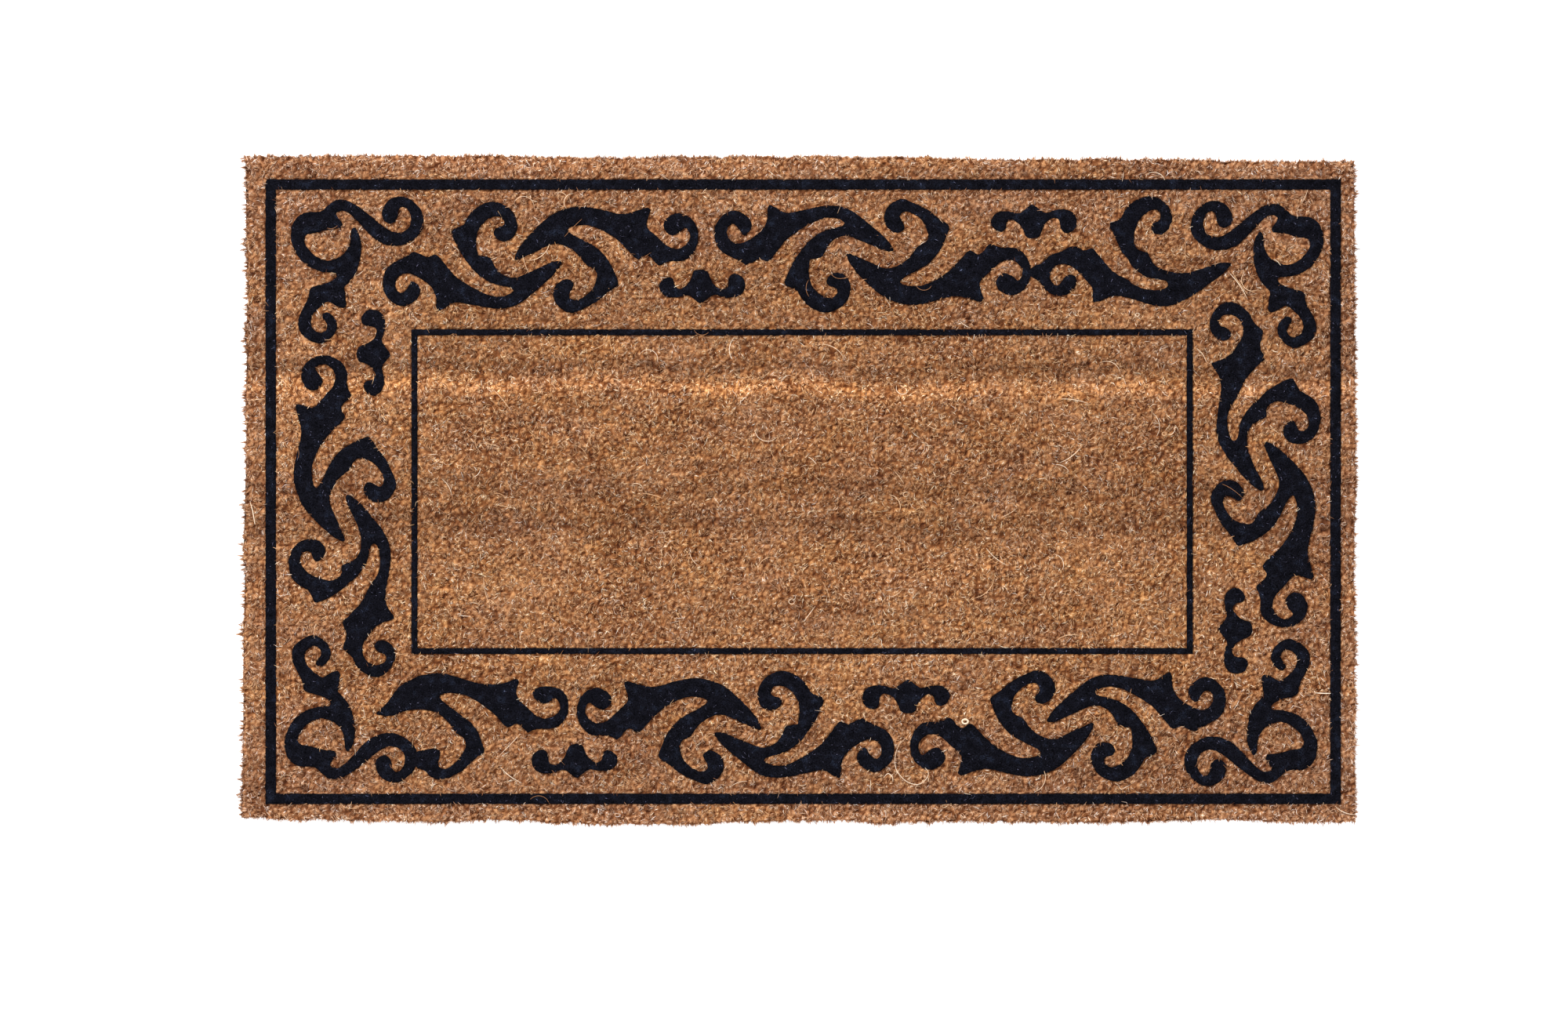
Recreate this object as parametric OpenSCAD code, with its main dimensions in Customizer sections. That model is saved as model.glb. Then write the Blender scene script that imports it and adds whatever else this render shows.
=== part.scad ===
// Tufted coir door mat: a vinyl backing sheet, a dense coir pile fused into it, and a dark flocked
// design of acanthus scrolls printed on the pile in separate islands inside two border lines.
// Millimetres. X runs along the long side, Y towards the top of the design, Z up from the underside.

/* [Mat] */
// Long side of the mat
mat_length = 762; // [400:1:1200]
// Short side of the mat
mat_width = 457; // [250:1:800]
// Thickness of the vinyl backing
backing_thickness = 3; // [1:0.5:6]
// Height of the coir pile above the backing
pile_height = 11.2; // [5:0.2:30]
// Rounding of the corners of the cut mat
corner_radius = 3; // [0:0.5:20]

/* [Printed design] */
// Thickness of the flock layer printed on the pile
flock_thickness = 0.8; // [0.2:0.1:3]
// Sideways offset of the whole design from the middle of the mat
design_shift_x = 2.5; // [-10:0.1:10]
// Offset of the whole design across the mat
design_shift_y = -1.4; // [-10:0.1:10]
// Sideways offset of the scrollwork inside the border lines
scroll_shift_x = 0.6; // [-5:0.1:5]
// Sideways offset of the inner border line inside the outer one
inner_shift_x = -0.7; // [-5:0.1:5]
// How far the flock draws in from the outlines of the scrollwork
flock_inset = 0.35; // [0:0.05:1]
// Outer length of the outer border line
outer_border_length = 736.7; // [300:0.1:1100]
// Outer width of the outer border line
outer_border_width = 428; // [200:0.5:780]
// Line width of the outer border
outer_border_line = 7.1; // [2:0.1:20]
// Outer length of the inner border line
inner_border_length = 535.4; // [200:0.1:900]
// Outer width of the inner border line
inner_border_width = 222.5; // [100:0.5:600]
// Line width of the inner border
inner_border_line = 4.1; // [1:0.1:20]
// Straight steps in each span of a curved outline
curve_steps = 2; // [1:1:6]

/* [Output] */
// Which sub-part to show: a name from the list, or all

/* [Hidden] */
coir = [0.69, 0.5, 0.33];
flock = [0.06, 0.07, 0.12];
vinyl = [0.16, 0.15, 0.15];
flock_base = backing_thickness + pile_height;

// A closed outline is a list of [x, y] points. A third number, 1, marks a sharp corner; the curve runs
// smoothly (Catmull-Rom) through all the others.
function sharp(p) = len(p) == 3;
function xy(p) = [p[0], p[1]];
function tangent(pts, i) =
    let (n = len(pts))
    sharp(pts[i]) ? [0, 0] : (xy(pts[(i + 1) % n]) - xy(pts[(i + n - 1) % n])) / 2;
function hermite(a, b, ta, tb, t) =
    (2 * t * t * t - 3 * t * t + 1) * a + (t * t * t - 2 * t * t + t) * ta
    + (3 * t * t - 2 * t * t * t) * b + (t * t * t - t * t) * tb;
function smooth_outline(pts) = [
    for (i = [0 : len(pts) - 1])
        let (j = (i + 1) % len(pts), a = xy(pts[i]), b = xy(pts[j]))
        for (k = [0 : curve_steps - 1])
            hermite(a, b, tangent(pts, i), tangent(pts, j), k / curve_steps)
];

// Leaf scroll with its branch curled back over the stem, as used on the long sides.
leaf_scroll_a = [
    [-40, 3.5, 1], [-35, 2], [-30, -0.5, 1], [-26, 1.2], [-22.5, 0.5], [-15, -8.7], [-10, -14],
    [-5, -17.4], [0, -20.5], [5, -23.2], [10, -25.5], [15, -26.9], [20, -27.2], [25, -26],
    [28.5, -23.5], [25.5, -21.6], [20, -20.4], [13, -18.4], [7.5, -15], [2.5, -11], [-2.5, -5],
    [-7.5, 2], [-10.5, 8], [-13.4, 14], [-13.8, 17], [-12, 19], [-8, 20.5], [-5.2, 22.2, 1],
    [-3, 26.5], [0, 30.5], [4, 34], [9, 36.6], [15, 37.8], [21, 36.2], [26.5, 33], [30, 28.5],
    [31.8, 23], [31.8, 18], [29, 12.5], [23, 10], [17.5, 11.5], [14.7, 15.5], [16.5, 19.4],
    [21, 20.8], [22.2, 23.5], [19.5, 26.7], [15, 26.7], [10, 24], [6, 19.3], [4, 13.5], [3.8, 7],
    [5, 0.8, 1], [9, 0.5], [13.5, -1], [16, -6], [20, -11.2], [25.5, -13.9], [31, -14.2],
    [37, -11.8], [47, -7.4], [55, -3.6], [60.5, -2.8], [62.2, -5], [57, -12.5], [50, -19], [42, -26],
    [35, -31.6], [28, -35], [20, -36.2], [12, -35.7], [4, -34.2], [-4, -32.8], [-9, -32], [-14, -33],
    [-18, -36], [-22.5, -38, 1], [-24.3, -35], [-24.3, -29], [-26.5, -23], [-30, -19.1],
    [-35, -15.5], [-40, -13], [-44, -11.9], [-48.5, -13.3], [-51.5, -17.5], [-51.3, -22],
    [-48.5, -24.7], [-45.5, -23.4], [-43, -19.8], [-40.5, -16.6], [-36.5, -19.2], [-34.4, -23.2],
    [-35.8, -28], [-40, -32.1], [-46, -34.6], [-52, -33.2], [-57.5, -28.8], [-60.5, -23.5],
    [-61, -17.5], [-59.5, -10.5], [-55.5, -5.6], [-50, -2.3], [-44, 0.6]
];

// The same leaf drawn flatter, its branch lying lower, as used between the scrolls above.
leaf_scroll_b = [
    [-35.5, 4.2, 1], [-32.5, 2], [-29.5, -1.8], [-26, -3.2], [-23, -1], [-20.5, -0.3], [-17.5, -2.6],
    [-12, -8.4], [-6, -14], [0, -18.2], [6.5, -21.4], [13, -23.5], [19, -23.6], [24.5, -22.5],
    [26.9, -20.9], [25.5, -19], [20, -15.8], [12, -11.9], [6, -8], [1, -2.8], [-3, 3.5], [-5.5, 9],
    [-7.5, 14], [-7.5, 17], [-5, 19.2], [0, 22.6], [4.9, 27], [10, 30.4], [16, 33.2], [21, 35.6],
    [25.5, 36.3], [31, 34.2], [35.5, 30], [37.5, 24], [36.5, 18.5], [33, 14.6], [28.5, 12.5],
    [24.5, 13.7], [22.7, 16.5], [24, 19.7], [26, 24], [24, 26.5], [20, 26.6], [14.5, 23.5],
    [10, 18.8], [8, 13], [7.7, 9], [9.8, 5.8], [14.5, 3.7], [18.5, -1.2], [23, -6], [29.5, -9.6],
    [36, -11], [42, -9], [50, -5], [56, -2.3], [60, -0.4], [62.8, 0.2], [63.9, -1.4], [61.8, -7],
    [56, -15], [48, -23.4], [40, -30.4], [32, -34.4], [24, -36.7], [16.5, -37], [8, -35.9],
    [0, -33.9], [-8, -32.1], [-14, -32.5], [-21, -34.5], [-27.5, -36.5], [-30, -34.5, 1],
    [-28.5, -29.5], [-27.3, -25], [-28.5, -21.4], [-34, -16.6], [-40, -11], [-44.5, -8.6],
    [-49.5, -8.4], [-54, -11.4], [-56.4, -16], [-55, -20.6], [-53, -21.6], [-49.5, -18.7],
    [-44.5, -16.5], [-40, -18.9], [-38, -23.5], [-39.5, -28], [-44, -31.4], [-49, -32.6],
    [-55, -30.7], [-60, -26], [-62.6, -19], [-62.3, -12], [-59.5, -5.2], [-55, -0.7], [-50, 1],
    [-44, 0.9], [-39, 2.3]
];

// The leaf fitted to the short sides: a shorter stem and an open curl at its foot.
leaf_scroll_side = [
    [-44, 0], [-40, -1], [-36, -2.2], [-32, -2], [-28.5, -0.2], [-25, 0], [-22.5, -3], [-18, -7.5],
    [-13, -12], [-7, -15.5], [-1, -18.5], [4, -22], [9, -24.5], [15, -25.5], [21, -25], [26, -23.5],
    [27.5, -21.5], [25, -19.2], [19, -18.2], [14, -16.5], [9, -13.5], [4, -9], [0, -4], [-4, 0],
    [-7, 4.5], [-9, 8], [-11, 12], [-12.8, 17], [-12.5, 19.5, 1], [-8, 21.5], [-4, 24, 1],
    [-2.5, 27], [0, 31], [4, 35], [10, 36.8], [16, 37.2], [22, 35.5], [27, 32.5], [30, 28],
    [31.3, 22.5], [30.5, 17], [28, 13.5], [24.5, 11.3], [20.5, 11.8], [16.5, 14.5], [15.2, 18],
    [17.5, 20.5], [21, 21.8], [22.2, 24.5], [20.5, 27.5], [16.5, 28.8], [12, 27], [8, 23],
    [5.5, 18.5], [4, 13.5], [2.8, 8.5], [4.5, 3.5], [8, 0.8], [12, 1], [14, -1], [15.5, -5],
    [18, -9], [22.5, -11.8], [29, -12.5], [35, -11.8], [41, -9.5], [47, -7], [52, -4.2], [57, -2.2],
    [60, -2], [61.8, -3.5], [60.5, -6.5], [57, -11], [52, -16], [47, -20], [43, -23.2], [39, -26.5],
    [34, -29.5], [29, -32], [22, -33.5], [14, -33.2], [6, -32], [-2, -30.5], [-9, -29.8],
    [-14, -30.7], [-18, -32.8], [-21, -35], [-24, -36, 1], [-25.2, -32], [-27, -27], [-30, -22.5],
    [-34, -19], [-39, -15.5], [-44, -14], [-49.5, -15], [-53.5, -18.5], [-55.2, -23],
    [-54, -27.5], [-51, -29.7], [-48.2, -28.5], [-47, -25], [-44, -22], [-40.5, -22], [-38.2, -25],
    [-38.5, -30], [-41, -33.5], [-45, -36], [-50, -36.7], [-55, -35], [-59.5, -32], [-63, -27.5],
    [-64, -22], [-62.5, -17], [-59, -12], [-55, -8.5], [-50.5, -6.5], [-47, -3]
];

// The leaf at the end of the top row, drawn out into a long tail.
leaf_scroll_long_tail = [
    [-38.5, 1.8], [-35, 1], [-32, -1], [-29, 0], [-26.5, 0.8], [-24.5, 0], [-22, -3], [-19.5, -5.5],
    [-16.5, -9], [-13, -12.8], [-9.5, -15.5], [-5, -18], [0, -20.3], [2.5, -22.8], [6, -24.3],
    [10, -25.7], [16, -26.5], [22, -26], [25.5, -24.5], [26.5, -22.5], [25, -20.5], [20, -19.5],
    [14, -18.8], [10, -17.5], [5, -14], [1, -10.5], [-2, -5.5], [-5.5, -2], [-8, 2.5], [-10.5, 7.5],
    [-12.5, 12], [-14.5, 15], [-14.3, 18.7, 1], [-8.5, 20.5, 1], [-6.5, 23], [-5, 26.5], [-2.5, 30],
    [1, 33.5], [5.5, 36], [12, 37.5], [18, 36.7], [22.5, 34], [26, 30.5], [28, 26], [28.5, 21],
    [27, 16.5], [24, 12.8], [20.5, 11], [16.5, 11.5], [14.2, 14], [13.8, 17], [15.5, 19.5],
    [18.8, 21], [20, 23.5], [19, 26.8], [16, 28], [12, 26.5], [8, 23], [5, 19], [3.5, 14], [2.8, 9],
    [3.2, 4.5], [5.5, 1], [9, -0.3], [12.5, -1], [14.5, -4.5], [16.5, -8], [20, -11], [26, -13],
    [33, -14.2], [40, -13.8], [46, -12], [52, -10], [57, -7.8], [62, -6.3], [67, -5.8], [70, -6.5, 1],
    [69.5, -8.5, 1], [66.5, -12], [63, -15.5], [58, -19.5], [51, -25], [45, -29.5], [39, -33],
    [33, -36], [26, -38], [19, -37.8], [12, -36.5], [6, -34.5], [0, -33], [-7, -32], [-12, -32.5],
    [-15, -34], [-20, -36.3], [-24.3, -37, 1], [-24.8, -33], [-25, -28], [-27, -24.5],
    [-31, -20.5], [-34, -17], [-38, -13.8], [-42, -12], [-46, -11.3], [-50.5, -13], [-53.5, -17],
    [-53.8, -21], [-51.5, -24.5], [-49, -25.5], [-47, -24], [-45, -20.5], [-42.5, -18.2],
    [-38.5, -18], [-36, -20], [-35.5, -23.5], [-36.8, -27.5], [-40, -31], [-44.5, -33.3],
    [-50, -33], [-55, -31], [-58, -28.5], [-60.5, -25], [-64, -22.5], [-70, -18], [-65.5, -12.8],
    [-61, -11], [-58, -8.3], [-55, -5.5], [-52, -3.8], [-48.5, -2.8], [-45, -0.8], [-42, 1]
];

// The leaf at the corner end of the bottom row, whose branch runs into the corner scroll.
leaf_scroll_corner_end = [
    [-37.6, 3.9, 1], [-34.8, 1.1], [-31.7, -2], [-28.7, -2.5], [-26.1, -1], [-23.6, -0.2],
    [-21, -1.8], [-18.5, -4.6], [-15.4, -8.1], [-11.8, -11.2], [-7.8, -14.5], [-3.7, -17.3],
    [0.4, -19.9], [4.5, -21.9], [9.6, -23.2], [15.7, -23.7], [20.3, -23.1], [22.6, -21.9],
    [21.3, -19.3], [18.3, -16.8], [14.7, -14], [10.6, -11.2], [6, -7.6], [1.4, -4], [-1.1, -1],
    [-3.7, 2.6], [-5.2, 6.7], [-6.5, 10.2], [-7.8, 14.3], [-7.8, 17.4, 1], [-3.7, 19.6], [0.4, 23],
    [4, 26.4], [8.1, 30.1], [12.7, 32.5], [17.8, 34.7], [22.9, 35.6], [26.9, 34.7], [30.5, 32.5],
    [33.5, 29.3], [38.5, 27.5], [42, 21], [38, 15.5], [31, 14.2], [26.9, 13.3], [22.5, 15, 1],
    [22.3, 18.4], [23.4, 22.5], [23.7, 25], [22.3, 26.8], [19.3, 27.6], [15.7, 26.1], [11.6, 22.5],
    [9.1, 19.4], [6.5, 15.3], [5.3, 11.8], [6, 8.2], [8.6, 5.7], [11.6, 3.9], [14.2, 0.6],
    [16.7, -3], [20.3, -6.6], [24.4, -9.7], [30, -11.7], [36.1, -12.4], [43.3, -12], [48.4, -10.7],
    [52.4, -8.9], [57.6, -7.9], [62.7, -8.3], [66.2, -9.1], [66.7, -10.7], [63.7, -13.2],
    [59.1, -17.8], [56, -21.9], [53, -26.5], [48.9, -30.1], [43.8, -33.1], [38.2, -35.7],
    [32, -37.2], [24.9, -38], [17.8, -37.2], [10.6, -35.2], [4.5, -33.4], [-1.6, -31.6],
    [-8.8, -30.6], [-14.9, -30.4], [-21, -31.1], [-25.1, -32.6], [-28.2, -33.9], [-31.2, -33.6, 1],
    [-31.7, -31.1], [-30.7, -28.5], [-29.9, -25.5], [-30.7, -21.4], [-33.3, -17.8],
    [-36.8, -14.8], [-40.4, -11.4], [-44, -8.6], [-48.1, -7.1], [-52.7, -7.6], [-56.7, -9.7],
    [-59, -12.7], [-59, -16.3], [-57.2, -19.3], [-55.7, -20.2], [-53.7, -18.8], [-50.6, -16.8],
    [-47, -16.5], [-43.5, -18.3], [-40.9, -21.4], [-40.4, -24.4], [-43, -27.5], [-48.1, -29],
    [-53.7, -28.7], [-58.8, -27.3], [-62.3, -25], [-64.9, -20.4], [-65.7, -14.2], [-64.9, -9.1],
    [-62.3, -4.6], [-58.8, -1.2], [-54.7, 0.6], [-49.6, 0.9], [-44.5, 0.9], [-40.9, 1.9]
];

// Corner scroll: a leaf with one long arm along each side of the mat.
corner_scroll = [
    [-29, 40.3], [-24.5, 41], [-21.5, 43.5], [-18, 46.5], [-14.5, 48.7], [-10, 49], [-5, 47.7],
    [0, 44.8], [5, 41.3], [10, 37.3], [15, 33], [20, 29.3], [24.5, 27], [28, 26.3], [31.5, 27],
    [34.5, 29], [36.3, 32], [36.7, 36], [35.8, 39.5], [33.5, 42.5], [31, 43.3], [29, 41.5],
    [28.3, 38], [27.5, 35], [25.5, 32.8], [22.5, 32], [19.5, 33], [17, 36], [16.8, 40], [18, 44],
    [21, 48], [25.5, 50.5], [30.5, 51.2], [35.5, 49.8], [40, 46.5], [44, 42], [45.7, 37], [46, 31],
    [44, 26], [40, 21.7], [35, 18.5], [30, 16.8], [24, 16.6], [19, 17.7], [14, 20], [10, 23],
    [6, 27], [1, 32.5], [-4, 37.5], [-7.5, 40], [-10, 40.6], [-12.5, 40], [-13.8, 38.5],
    [-12.3, 36], [-10, 33], [-9.5, 31], [-11, 28.8, 1], [-15, 28.4], [-20, 27.8], [-25, 26.3],
    [-30, 25.2], [-33.5, 24.7], [-35.8, 22.5], [-35.5, 19], [-33.5, 15.5], [-30, 11.7],
    [-25.5, 8.7], [-20.5, 7.2], [-17, 7.8], [-12, 9.7], [-8, 13], [-5.5, 17.5], [-4.7, 22],
    [-4.3, 27.5], [-2, 30], [0, 28.3], [1.7, 25], [3, 20], [3.2, 14], [2.5, 8], [1, 2],
    [-1.5, -3.5], [-5.5, -8.5], [-8.5, -11.5, 1], [-7.8, -16], [-7.2, -21], [-6.9, -23.5],
    [-8.5, -25.8], [-11, -25.8], [-14.5, -24.3], [-19.5, -21.5], [-23, -23.5], [-26.5, -26.5],
    [-30, -30.5], [-31.2, -35], [-30.3, -39], [-27.5, -41.5], [-24.5, -42.3], [-21.7, -41],
    [-20.6, -38], [-21.5, -35.5], [-23.8, -32.5], [-24, -30], [-22, -28.5], [-20, -28.2],
    [-17.5, -29.7], [-15, -32.5], [-13.4, -36], [-13.7, -40], [-15.5, -44], [-19, -47.5],
    [-23, -49.7], [-26.5, -50.4], [-31, -49], [-36, -45.8], [-39.7, -41.5], [-40.7, -36],
    [-40, -31.5], [-38, -27], [-35.5, -22.5], [-33.3, -17.5], [-33, -14], [-31.5, -11.5],
    [-28, -10], [-22.5, -8.7], [-17.5, -6.8], [-14.8, -4.7], [-14.2, -2.7], [-16, -1.8],
    [-20, -1.7], [-25, -0.8], [-31, 1.3], [-36.5, 5], [-41, 10], [-44, 16], [-45.7, 21],
    [-45.5, 27], [-44.5, 32], [-41, 37], [-37, 39.5], [-33, 40.4]
];

// Small cartouche: a hump over a point, with a curl at each end.
cartouche = [
    [-0.7, 11], [3, 10.2], [5.2, 7.5], [6.5, 4], [8.5, 0.7], [11.5, -1.8], [14.5, -2.5],
    [16.8, -1.8], [17.8, 1], [18, 4], [19.5, 7], [22.5, 8.2], [26, 7.2], [29, 4.5], [30, 0],
    [29, -4.5], [26, -7.5], [22, -8.9], [17.5, -9], [13, -8.2], [9.5, -6.9], [6.5, -7.7],
    [4, -9.8], [1, -12.1], [-0.8, -12.9], [-2.5, -12.3], [-5.5, -10], [-8, -8], [-10.5, -7.3],
    [-14, -8.2], [-20, -9], [-25, -8], [-28.3, -5], [-29.7, -1], [-28, 3], [-23.5, 5.8], [-20, 5],
    [-18.7, 2.5], [-18, -0.5], [-15, -2.5], [-11, 0], [-8.5, 3], [-7.2, 6], [-6.5, 8.5],
    [-4.5, 10.4]
];

// One motif of the design, turned, mirrored or scaled about its own middle.
module motif(outline, at, turn = 0, mirrored = false, stretch = [1, 1]) {
    linear_extrude(flock_thickness)
        translate([at[0] + scroll_shift_x, at[1]])
            rotate(turn)
                offset(delta = -flock_inset)
                    scale([mirrored ? -stretch[0] : stretch[0], stretch[1]])
                        polygon(smooth_outline(outline));
}

// A printed island: a thin layer of flock lying on the tips of the pile.
module printed() {
    color(flock)
        translate([design_shift_x, design_shift_y, flock_base])
            children();
}

module line_frame(length, width, line) {
    linear_extrude(flock_thickness)
        difference() {
            square([length, width], center = true);
            square([length - 2 * line, width - 2 * line], center = true);
        }
}

module mat_outline() {
    inner = [mat_length - 2 * corner_radius, mat_width - 2 * corner_radius];
    union() {
        square([mat_length, inner[1]], center = true);
        square([inner[0], mat_width], center = true);
        for (sx = [-1, 1], sy = [-1, 1])
            translate([sx * inner[0] / 2, sy * inner[1] / 2])
                circle(corner_radius, $fn = 32);
    }
}

module backing() {
    color(vinyl)
        linear_extrude(backing_thickness)
            mat_outline();
}

module coir_pile() {
    color(coir)
        translate([0, 0, backing_thickness])
            linear_extrude(pile_height)
                mat_outline();
}

module outer_border() {
    printed()
        line_frame(outer_border_length, outer_border_width, outer_border_line);
}

module inner_border() {
    printed()
        translate([inner_shift_x, 0])
            line_frame(inner_border_length, inner_border_width, inner_border_line);
}

module scroll_top_1() {
    printed()
        motif(leaf_scroll_a, [-228, 161.3]);
}

module scroll_top_2() {
    printed()
        motif(leaf_scroll_b, [-134.7, 158.6], turn = 180);
}

module scroll_top_3() {
    printed()
        motif(leaf_scroll_a, [-0.3, 159.7], turn = 181.6, mirrored = true);
}

// The fourth and fifth leaves of the top row run into each other and were printed as one island.
module scroll_top_pair() {
    printed()
        union() {
            motif(leaf_scroll_b, [92.6, 165.3], turn = 1.7, mirrored = true);
            motif(leaf_scroll_long_tail, [223.3, 165.5], turn = -1.9);
        }
}

// The first leaf of the bottom row runs into the corner scroll beside it.
module scroll_bottom_corner() {
    printed()
        union() {
            motif(leaf_scroll_corner_end, [-226.7, -162], turn = 180);
            motif(corner_scroll, [-310.6, -148.4], turn = 180, mirrored = true);
        }
}

module scroll_bottom_2() {
    printed()
        motif(leaf_scroll_b, [-92.8, -165.1], turn = 181.7, mirrored = true);
}

module scroll_bottom_3() {
    printed()
        motif(leaf_scroll_a, [0.5, -159.6], turn = 2, mirrored = true);
}

module scroll_bottom_4() {
    printed()
        motif(leaf_scroll_b, [135, -158.3]);
}

module scroll_bottom_5() {
    printed()
        motif(leaf_scroll_a, [228.3, -161.2], turn = 180);
}

module scroll_left_upper() {
    printed()
        motif(leaf_scroll_b, [-314, 30.2], turn = -90.5, stretch = [1.01, 0.965]);
}

module scroll_left_lower() {
    printed()
        motif(leaf_scroll_side, [-316.3, -63.4], turn = 90);
}

module scroll_right_upper() {
    printed()
        motif(leaf_scroll_side, [316, 64.3], turn = -88.7, stretch = [1.04, 1.02]);
}

module scroll_right_lower() {
    printed()
        motif(leaf_scroll_b, [313.9, -29.8], turn = 89.2, stretch = [1.01, 0.99]);
}

module corner_scroll_top_left() {
    printed()
        motif(corner_scroll, [-306.3, 151.5]);
}

module corner_scroll_top_right() {
    printed()
        motif(corner_scroll, [310.6, 148.5], mirrored = true);
}

module corner_scroll_bottom_right() {
    printed()
        motif(corner_scroll, [306.3, -150.9], turn = 180);
}

module cartouche_top_left() {
    printed()
        motif(cartouche, [-70, 141.6]);
}

module cartouche_top_right() {
    printed()
        motif(cartouche, [157.3, 184.2], turn = 181.8, mirrored = true);
}

module cartouche_bottom_left() {
    printed()
        motif(cartouche, [-156.9, -183.6], turn = 2.3, mirrored = true);
}

module cartouche_bottom_right() {
    printed()
        motif(cartouche, [70.2, -141.3], turn = 180, stretch = [1.02, 1]);
}

module cartouche_left() {
    printed()
        motif(cartouche, [-296, 95.1], turn = 89);
}

module cartouche_right() {
    printed()
        motif(cartouche, [296.5, -95.1], turn = -90.5);
}

backing();
coir_pile();
outer_border();
inner_border();
scroll_top_1();
scroll_top_2();
scroll_top_3();
scroll_top_pair();
scroll_bottom_corner();
scroll_bottom_2();
scroll_bottom_3();
scroll_bottom_4();
scroll_bottom_5();
scroll_left_upper();
scroll_left_lower();
scroll_right_upper();
scroll_right_lower();
corner_scroll_top_left();
corner_scroll_top_right();
corner_scroll_bottom_right();
cartouche_top_left();
cartouche_top_right();
cartouche_bottom_left();
cartouche_bottom_right();
cartouche_left();
cartouche_right();
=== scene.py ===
"""A tufted coir door mat with a vinyl backing and a dark flocked scroll border.

Objects are in metres, in the CAD's own frame. Working arrays are in millimetres.
"""

import math

import bpy
import numpy as np
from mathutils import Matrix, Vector, geometry


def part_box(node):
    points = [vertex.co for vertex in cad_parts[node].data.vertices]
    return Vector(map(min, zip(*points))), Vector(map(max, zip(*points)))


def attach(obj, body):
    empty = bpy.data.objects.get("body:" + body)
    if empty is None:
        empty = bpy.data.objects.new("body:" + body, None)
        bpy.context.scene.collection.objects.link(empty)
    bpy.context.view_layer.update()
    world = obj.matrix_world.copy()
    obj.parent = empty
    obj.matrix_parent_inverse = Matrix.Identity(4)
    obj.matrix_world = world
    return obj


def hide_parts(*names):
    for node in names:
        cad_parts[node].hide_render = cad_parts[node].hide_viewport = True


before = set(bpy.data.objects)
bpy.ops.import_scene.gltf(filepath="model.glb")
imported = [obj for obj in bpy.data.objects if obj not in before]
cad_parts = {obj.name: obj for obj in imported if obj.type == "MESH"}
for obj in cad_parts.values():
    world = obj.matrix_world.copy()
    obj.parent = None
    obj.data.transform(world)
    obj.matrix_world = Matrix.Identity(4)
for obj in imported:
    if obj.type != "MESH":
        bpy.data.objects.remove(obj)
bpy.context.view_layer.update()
rng = np.random.default_rng(7413)

MM = 0.001
TURN = 2 * math.pi
PILE_LO, PILE_HI = (np.array(c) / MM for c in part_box("coir_pile"))
HALF_X, HALF_Y = PILE_HI[0], PILE_HI[1]
FLOCK_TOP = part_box("outer_border")[1][2] / MM
PRINTS = [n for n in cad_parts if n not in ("backing", "coir_pile")]

# The pile is worked out on a grid of square cells, which reaches a little past the mat.
CELL = 0.5
MARGIN = 8.0

# Tufts stand this far apart, each shaken off its place by up to a share of that. Their tips are unevenly high
# domes, which fall off with the square of the distance from their middle, and have gaps between them.
TUFT_PITCH = 3.2
TUFT_SHAKE = 0.55
LIFT = 0.25
DOME = 0.05
GAP_DEPTH = 1.0
GAP_WIDTH = 1.0

# How far below the CAD's own tops the tips and the flock lie on average, and how far the flock presses the
# tips down.
TIPS_BELOW = 0.5
FLOCK_BELOW = 0.75
PRESSED = 0.7

# The matted pile and the loose tips on it are split into strips, to keep each mesh within its limit.
BASE_STRIPS = 5
BASE_PITCH = 1.25
TIP_STRIPS = 20

# Numbers of fibres: along each mm of cut edge, and long and curled ones tried over the whole mat. On the
# print there is one to so many square mm.
FRINGE_PER_MM = 6.5
LONG_FIBRES = 130
CURLS = 60
PRINT_PER_FIBRE = 3.2

# The flocked layer: the spacing of its points along its rim and within it, its thickness, and how far its rim
# lies below the rest.
FLOCK_STEP = 1.6
FLOCK_PITCH = 1.9
FLOCK_THICK = 1.3
FLOCK_RIM = 0.25


def linear(r, g, b):
    """A display colour, 0 to 255, as the linear colour that a shader wants."""
    parts = [c / 255 for c in (r, g, b)]
    return tuple(c / 12.92 if c <= 0.04045 else ((c + 0.055) / 1.055) ** 2.4 for c in parts)


# ---------------------------------------------------------------- outlines of the printed islands


def open_sides(rings):
    """The directed sides, from corner to corner, that only one of the faces has."""
    sides = {}
    for ring in rings:
        sides.update(dict.fromkeys(zip(ring, ring[1:] + ring[:1])))
    return [(a, b) for a, b in sides if (b, a) not in sides]


def outlines(node):
    """The closed outlines, in mm, of the top face of a flat CAD node."""
    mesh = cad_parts[node].data
    co = np.array([v.co for v in mesh.vertices]) / MM
    top = co[:, 2] > co[:, 2].max() - 0.01
    key = [tuple(p) for p in np.round(co[:, :2], 3)]
    faces = [p.vertices for p in mesh.polygons if all(top[i] for i in p.vertices)]
    after = dict(open_sides([key[i] for i in face] for face in faces))
    loops = []
    while after:
        start, here = after.popitem()
        loop = [start]
        while here != start:
            loop.append(here)
            here = after.pop(here)
        loops.append(np.array(loop))
    return loops


def inside(points, loops):
    """Which points are inside the loops, by the even-odd rule."""
    hit = np.zeros(len(points), bool)
    x, y = points[:, 0], points[:, 1]
    for loop in loops:
        for (x0, y0), (x1, y1) in zip(loop, np.roll(loop, -1, 0)):
            if y0 != y1:
                crosses = (y0 > y) != (y1 > y)
                hit ^= crosses & (x < x0 + (y - y0) * (x1 - x0) / (y1 - y0))
    return hit


def resampled(loop, step, shortest=0.25):
    """The loop with no side longer than step, and none shorter than shortest."""
    out = []
    for a, b in zip(loop, np.roll(loop, -1, 0)):
        n = max(1, int(math.ceil(np.hypot(*(b - a)) / step)))
        out.extend(a + (b - a) * (k / n) for k in range(n))
    out = np.array(out)
    return out[np.hypot(*(out - np.roll(out, 1, 0)).T) > shortest]


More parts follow.
